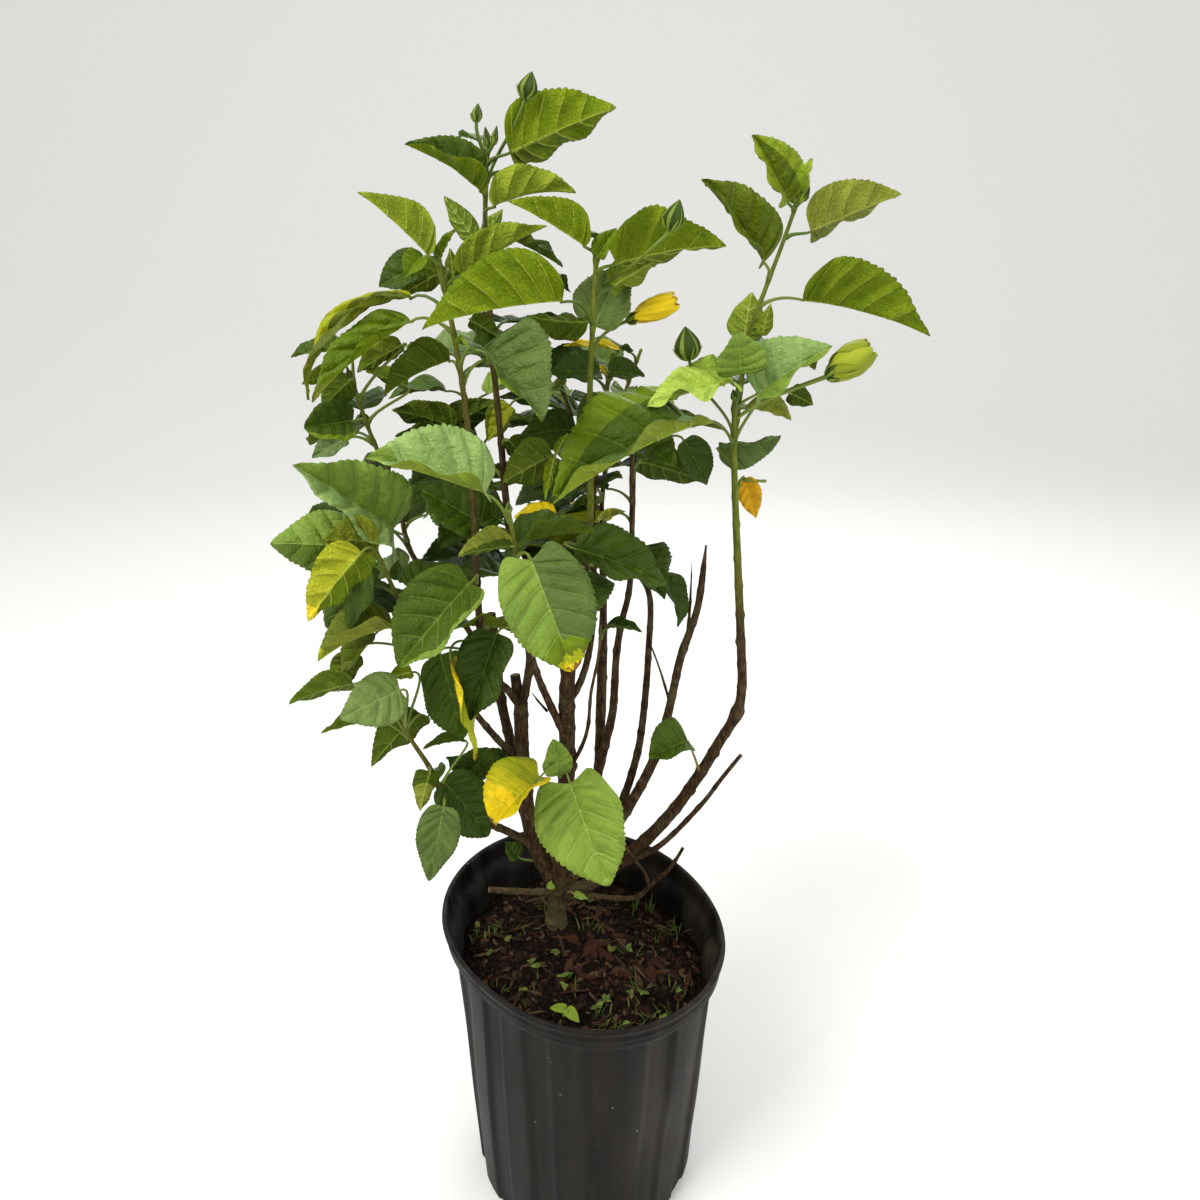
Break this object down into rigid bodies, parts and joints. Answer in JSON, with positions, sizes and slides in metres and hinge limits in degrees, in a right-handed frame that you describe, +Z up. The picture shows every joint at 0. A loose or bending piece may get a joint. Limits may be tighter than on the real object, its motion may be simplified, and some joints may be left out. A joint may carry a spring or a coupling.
{
  "type": "potted hibiscus shrub",
  "caption": "Leafy hibiscus shrub with slim bare lower boughs, growing in a round fluted nursery pot of potting soil.",
  "frame": {"origin": "middle of the pot's flat underside", "axes": "+Z up along the pot's axis, +X to the plant's right seen from its front, +Y towards its back"},
  "size_m": [0.4654, 0.334, 0.99],
  "materials": {
    "pot": "satin black moulded plastic, dusty",
    "soil": "moist potting mix with bark chips",
    "bark": "brown bark with pale pores, greener towards the tips",
    "leaves": "toothed green leaves, some yellowing",
    "bud": "pale yellow petals rolled in a bud"
  },
  "bodies": {
    "root": {"back_bough": "bark", "back_bough_right_shoot": "bark", "back_left_bough": "bark", "back_right_bough": "bark", "bud_stalk": "bark", "centre_leader": "bark", "centre_right_bough": "bark", "centre_right_shoot": "bark", "cut_bough": "bark", "cut_bough_side_shoot": "bark", "front_shoot": "bark", "leaves_back_left": "leaves", "leaves_back_middle": "leaves", "leaves_back_right": "leaves", "leaves_back_top": "leaves", "leaves_centre": "leaves", "leaves_front_centre": "leaves", "leaves_front_left": "leaves", "leaves_front_low": "leaves", "leaves_inner_right": "leaves", "leaves_left_shoulder": "leaves", "leaves_left_wing": "leaves", "leaves_low_front": "leaves", "leaves_low_left_tip": "leaves", "leaves_lower_left": "leaves", "leaves_right": "leaves", "leaves_right_hand": "leaves", "leaves_right_tip": "leaves", "leaves_right_top": "leaves", "leaves_top": "leaves", "leaves_upper_front": "leaves", "leaves_upper_left": "leaves", "leaves_upper_middle": "leaves", "left_bough": "bark", "left_bough_cut_stub": "bark", "left_bough_side_shoot": "bark", "left_bough_tall_shoot": "bark", "left_wing_shoot": "bark", "low_left_cut_stub": "bark", "low_left_shoot": "bark", "low_left_shoot_top": "bark", "low_right_twig": "bark", "low_right_twig_fork": "bark", "main_stem": "bark", "nursery_pot": "pot", "potting_soil": "soil", "right_bough_high": "bark", "right_bough_low": "bark", "right_cut_bough": "bark", "right_cut_shoot": "bark", "right_top_shoot": "bark", "thin_green_shoot": "bark", "yellow_bud": "bud"}
  },
  "joints": []
}
